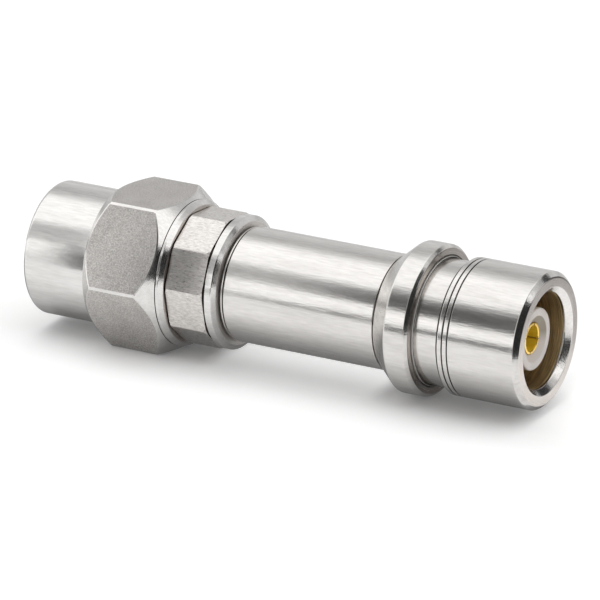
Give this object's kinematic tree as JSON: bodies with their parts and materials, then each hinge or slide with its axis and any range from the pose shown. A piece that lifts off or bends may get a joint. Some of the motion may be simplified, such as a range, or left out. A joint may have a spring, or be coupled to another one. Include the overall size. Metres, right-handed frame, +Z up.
{
  "type": "coaxial adapter",
  "caption": "Straight coaxial adapter with a screw-on plug and captive hexagon nut at one end, a long round barrel, and a flanged push-on jack at the other.",
  "frame": {"origin": "on the adapter's axis, half way along its length", "axes": "+X runs along the axis from the plug to the jack, +Z is up, square to the flat of the nut that the adapter lies on"},
  "size_m": [0.0288, 0.0092, 0.008],
  "materials": {
    "matt_steel": "stainless steel, flats bead-blasted to a fine matt grain, turned faces bright",
    "turned_steel": "stainless steel, satin turned",
    "gold_plate": "gold-plated copper alloy, bright",
    "bronze": "dark bronze spring alloy, finely turned",
    "white_ptfe": "white PTFE, slightly waxy",
    "amber_plastic": "amber high-temperature plastic"
  },
  "bodies": {
    "adapter": {"nut_snap_ring": "bronze", "plug_shell": "gold_plate", "plug_insulator": "white_ptfe", "centre_pin": "gold_plate", "centre_rod": "gold_plate", "wrench_body": "turned_steel", "barrel_tube": "turned_steel", "plug_bead": "amber_plastic", "jack_bead": "amber_plastic", "jack_body": "turned_steel", "jack_head": "turned_steel", "jack_liner": "bronze", "jack_insulator": "white_ptfe", "jack_socket": "gold_plate"},
    "nut": {"coupling_nut": "matt_steel"}
  },
  "joints": [
    {"name": "nut_spin", "type": "hinge", "parent": "adapter", "child": "nut", "pos_m": [-0.01, 0, 0], "axis": [1, 0, 0], "continuous": true}
  ]
}
